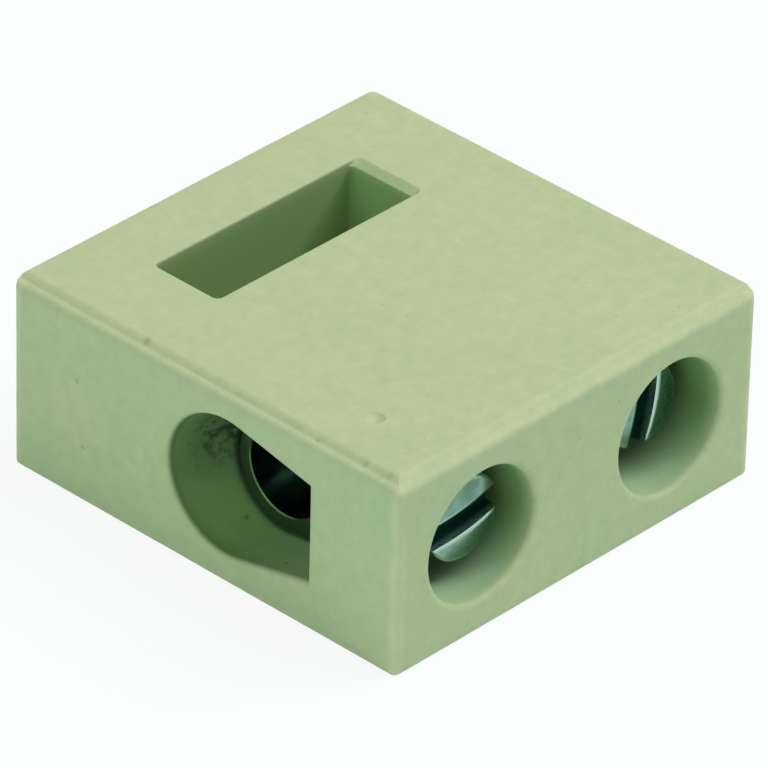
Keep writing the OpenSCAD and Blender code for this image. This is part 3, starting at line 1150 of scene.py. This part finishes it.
def upper_layers(tree, colour):
    """Lays the pale corners, the painted shade of the holes, the painted light on inner walls
    that face up, the painted shade of the funnels, the screw holes, the passage and the
    funnels' roofs, and the dark grains over a colour."""
    worn = remap(tree, noise(tree, WORN_SCALE), *WORN_BAND, *WORN_SHARE)
    worn = math_node(tree, "MULTIPLY", stored(tree, "corner"), worn)
    colour = blend(tree, worn, colour, CERAMIC_PALE)
    # Painted shade deep in the slot and the holes.
    colour = blend(tree, stored(tree, "inside"), colour, CERAMIC_HOLE_SHADE)
    # Painted light on inner walls that face up.
    lit_upward = stored(tree, "lit_upward")
    colour = blend(tree, math_node(tree, "MULTIPLY", lit_upward, LIT_TINT), colour, CERAMIC_LIT_WALL)
    # Painted shade in the funnels, lighter where painted light lies.
    funnel_shade = blend(tree, lit_upward, CERAMIC_FUNNEL_SHADE, CERAMIC_LIT_FUNNEL_SHADE)
    colour = blend(tree, stored(tree, "funnel_shade"), colour, funnel_shade)
    # Painted shade at the bottom of the screw holes and in the passage.
    grime = math_node(tree, "MULTIPLY", stored(tree, "grime"), RECESS_SHADE_TINT)
    colour = blend(tree, grime, colour, CERAMIC_SHADE_AND_SPECKS)
    # Painted shade under the funnels' roofs, broken by noise into smudges and dark specks.
    smudge = remap(tree, noise(tree, SMUDGE_SCALE, **FINE_NOISE), *SMUDGE_BAND, *SMUDGE_SHARE)
    smudge = math_node(tree, "MULTIPLY", stored(tree, "roof_shade"), smudge)
    colour = blend(tree, smudge, colour, CERAMIC_SHADE_AND_SPECKS)
    return blend(tree, dark_grains(tree), colour, CERAMIC_SHADE_AND_SPECKS)


def green_ceramic():
    """Matte ceramic: the fired body under the other layers, with a relief of swells, grain
    and pores."""
    material, tree, shader = new_material("green_ceramic")
    grain = noise(tree, GRAIN_SCALE, **FINE_NOISE)
    spots = pores(tree)
    relief = bump(tree, noise(tree, SWELL_SCALE), *SWELL_BUMP)
    relief = bump(tree, grain, *GRAIN_BUMP, relief)
    relief = bump(tree, math_node(tree, "SUBTRACT", 1.0, spots), *PORE_BUMP, relief)
    fill(tree, shader, {
        "Base Color": upper_layers(tree, fired_body(tree, grain, spots)),
        "Roughness": remap(tree, grain, *GRAIN_BAND, *CERAMIC_ROUGHNESS),
        "Specular IOR Level": CERAMIC_GLOSS,
        "Normal": relief,
    })
    return material


ceramic = green_ceramic()
print(ceramic.name, "has", len(ceramic.node_tree.nodes), "nodes")

# %% [markdown]
# ## Zinc and nickel plate
# The screws have a dull zinc plate with a cold blue-green cast, which is partly a painted
# reflection of the green ceramic. It is rubbed bright along the edges of the head, with a
# painted highlight, and painted shade darkens their slots. The bar is plated too, but only
# its bore is still bright: its sawn ends and its outside have tarnished green, and that green
# is partly painted shade and a painted reflection of the green walls. A share from 0 to 1
# mixes in the painted shade on the screws and the tarnish on the bar. The screws keep it at
# their points, and the bar's solid keeps none, so there it comes from the place on the bar.

# %% Zinc and nickel plate
ZINC_PLATE = {
    # The zinc's blue-green cast is partly a painted reflection of the green ceramic.
    "bright": srgb(122, 160, 142),
    "dull": srgb(96, 136, 116),
    # Rubbed plate with a painted highlight.
    "rubbed_highlight": srgb(186, 216, 204),
    # Painted shade in the slot and under the head.
    "shade_tarnish_colour": srgb(10, 60, 56),
    "roughness": (0.2, 0.32),
    "shade_roughness": 0.7,
    "shade_covers": True,
    "scratches": (6.0, 1.0, 6.0),
}
NICKEL_PLATE = {
    # The nickel's blue-green cast is partly a painted reflection of the green ceramic.
    "bright": srgb(180, 198, 190),
    "dull": srgb(160, 182, 172),
    "rubbed_highlight": srgb(180, 198, 190),
    # Tarnish, partly painted shade and a painted reflection of the green walls.
    "shade_tarnish_colour": srgb(77, 106, 73),
    "roughness": (0.1, 0.18),
    "shade_roughness": 0.26,
    "shade_covers": False,
    "scratches": (1.0, 8.0, 1.5),
}
DRIFT_SCALE, DRIFT_BAND = 900, (0.35, 0.65)
# Gloss of the painted shade that covers the zinc.
SHADE_GLOSS = 0.1
SCRATCH_SCALE, SCRATCH_DETAIL, SCRATCH_BUMP = 1000.0, 3.0, (6e-6, 0.5)
# The bar's tarnished ends, partly painted shade and a painted reflection of the green walls.
TARNISH_AND_SHADE_BAND = 0.08
BRIGHT_RADIUS = 2.6


# The tarnish on the bar's ends and outside is partly painted shade and a painted reflection of
# the green walls.
def bar_tarnish_and_shade(tree):
    """1 on the bar's end faces with their chamfers, by the distance from its middle, and on
    its outside, by the distance from the bore's axis."""
    low, high = node_box("terminal_bar")
    middle = ((low[0] + high[0]) / 2 * MM, AXIS_Y * MM, AXIS_Z * MM)
    end = ((high[0] - low[0]) / 2 - TARNISH_AND_SHADE_BAND) * MM
    point = object_point(tree)
    apart = add(tree, "VectorMath", {0: point, 1: middle}, operation="SUBTRACT").outputs[0]
    along = add(tree, "SeparateXYZ", {"Vector": apart}).outputs["X"]
    ends = math_node(tree, "GREATER_THAN", math_node(tree, "ABSOLUTE", along, 0.0), end)
    across = add(tree, "VectorMath", {0: apart, 1: (0, 1, 1)}, operation="MULTIPLY")
    radius = add(tree, "VectorMath", {0: across.outputs[0]}, operation="LENGTH")
    outside = math_node(tree, "GREATER_THAN", radius.outputs["Value"], BRIGHT_RADIUS * MM)
    return math_node(tree, "MAXIMUM", ends, outside)


def plated_metal(
    name, share, bright, dull, rubbed_highlight, shade_tarnish_colour, roughness, shade_roughness, shade_covers, scratches
):
    """Plated metal: two tones that drift, a brighter one with a painted highlight where the
    piece stores rub, painted shade and tarnish by the share that a function gives, roughness
    that follows them, and scratches made by noise stretched along one axis. Painted shade that
    covers the metal takes its metallic gloss away, and a thin tarnish leaves it."""
    material, tree, shader = new_material(name)
    drift = remap(tree, noise(tree, DRIFT_SCALE, **FINE_NOISE), *DRIFT_BAND)
    shade_and_tarnish = share(tree)
    # A painted highlight where the plate is rubbed.
    colour = blend(tree, stored(tree, "rub_and_highlight"), blend(tree, drift, bright, dull), rubbed_highlight)
    # Painted shade on the screws, and on the bar tarnish that is partly painted shade.
    colour = blend(tree, shade_and_tarnish, colour, shade_tarnish_colour)
    gloss = remap(tree, drift, 0, 1, *roughness)
    dull_part = math_node(tree, "MULTIPLY", shade_and_tarnish, shade_roughness)
    stretched = add(tree, "Mapping", {"Vector": object_point(tree), "Scale": scratches})
    scratch = add(tree, "TexNoise", {
        "Vector": stretched.outputs["Vector"],
        "Scale": SCRATCH_SCALE,
        "Detail": SCRATCH_DETAIL,
    })
    fill(tree, shader, {
        "Base Color": colour,
        "Metallic": 1.0,
        "Roughness": math_node(tree, "MAXIMUM", gloss, dull_part),
        "Normal": bump(tree, scratch.outputs["Fac"], *SCRATCH_BUMP),
    })
    if shade_covers:
        bare = math_node(tree, "SUBTRACT", 1.0, shade_and_tarnish)
        fill(tree, shader, {"Metallic": bare, "Specular IOR Level": SHADE_GLOSS})
    return material


zinc = plated_metal("zinc_plate", lambda tree: stored(tree, "shade_and_tarnish"), **ZINC_PLATE)
nickel = plated_metal("nickel_plate", bar_tarnish_and_shade, **NICKEL_PLATE)
print("plated metals:", zinc.name, "and", nickel.name)

# %% [markdown]
# ## Dressing the pieces
# Each new piece gets its material, rides on a body, and takes the place of the solid that it
# was made after. The bar's own solid stays, and only gets its material.

# %% Dress the pieces
block.data.materials.append(ceramic)
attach(block, "housing")
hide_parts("block")

for node, body in (("left_clamp_screw", "left_screw"), ("right_clamp_screw", "right_screw")):
    screws[node].data.materials.append(zinc)
    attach(screws[node], body)
    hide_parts(node)

bar = frame["nodes"]["terminal_bar"]
bar.data.materials.clear()
bar.data.materials.append(nickel)
print("dressed", block.name, [s.name for s in screws.values()], bar.name)

# %% [markdown]
# ## Floor, light and background
# The block stands on a white floor under soft light from all round, with a large soft box
# overhead, a smaller one from the right and a low one at the left. The background is white
# to the camera and in reflections. The floor shows mostly that white, with a part of its
# own shading, so that the block's soft shadow stays on it. All these sizes are in metres.

# %% Floor and background
WHITE = (1.0, 1.0, 1.0, 1.0)
FLOOR_HALF = 1.5
FLOOR_COLOUR = (0.8, 0.97, 0.95, 1.0)
FLOOR_ROUGHNESS = 0.9
FLOOR_GLOW = 0.9
WORLD_COLOUR = (0.8, 1.0, 1.0, 1.0)
WORLD_STRENGTH = 0.18


def sees_background(tree):
    """1 for camera, glossy and transmission rays, which see the plain background."""
    path = add(tree, "LightPath").outputs
    seen = math_node(tree, "MAXIMUM", path["Is Camera Ray"], path["Is Glossy Ray"])
    return math_node(tree, "MAXIMUM", seen, path["Is Transmission Ray"])


def make_floor():
    """A flat white square under the block."""
    corner = np.array([(-1, -1), (1, -1), (1, 1), (-1, 1)]) * FLOOR_HALF
    mesh = bpy.data.meshes.new("floor")
    mesh.from_pydata(on_plane(corner, 2, 0.0).tolist(), [], [(0, 1, 2, 3)])
    floor = bpy.data.objects.new("floor", mesh)
    scene.collection.objects.link(floor)
    material, tree, shader = new_material("floor_white")
    fill(tree, shader, {
        "Base Color": FLOOR_COLOUR, "Roughness": FLOOR_ROUGHNESS, "Specular IOR Level": 0.0,
    })
    glow = add(tree, "Emission", {"Color": WHITE, "Strength": 1.0})
    share = math_node(tree, "MULTIPLY", sees_background(tree), FLOOR_GLOW)
    mixed = add(tree, "MixShader", {0: share, 1: shader.outputs[0], 2: glow.outputs[0]})
    fill(tree, tree.nodes["Material Output"], {"Surface": mixed.outputs[0]})
    mesh.materials.append(material)
    return floor


def make_world():
    """Soft light from all round, and white to the rays that see the background."""
    world = bpy.data.worlds.new("studio")
    world.use_nodes = True
    scene.world = world
    tree = world.node_tree
    light = tree.nodes["Background"]
    fill(tree, light, {"Color": WORLD_COLOUR, "Strength": WORLD_STRENGTH})
    white = add(tree, "Background", {"Color": WHITE, "Strength": 1.0})
    mixed = add(tree, "MixShader", {
        0: sees_background(tree), 1: light.outputs[0], 2: white.outputs[0],
    })
    fill(tree, tree.nodes["World Output"], {"Surface": mixed.outputs[0]})
    return world


print("stage:", make_floor().name, "and", make_world().name)

# %% [markdown]
# Each lamp is listed by name, place, side, power and tint. Its side sets how soft the
# shadows are.

# %% Soft boxes
SOFT_BOXES = [
    ("overhead", (0.25, -0.16, 0.715), 0.7, 4.45, (1.0, 0.97, 0.97)),
    ("key", (0.48, -0.3, 0.5), 0.16, 1.3, (1.0, 1.0, 1.0)),
    ("fill", (-0.64, 0.0, 0.233), 0.3, 1.38, (0.88, 1.0, 0.93)),
]


def make_soft_box(name, place, side, power, tint):
    """A square area lamp that faces the origin."""
    data = bpy.data.lights.new(name, "AREA")
    data.size = side
    data.energy = power
    data.color = tint
    lamp = bpy.data.objects.new(name, data)
    lamp.location = place
    lamp.rotation_euler = Vector(place).to_track_quat("Z", "Y").to_euler()
    scene.collection.objects.link(lamp)
    return lamp


lamps = [make_soft_box(*row) for row in SOFT_BOXES]
print("lamps:", [lamp.name for lamp in lamps])
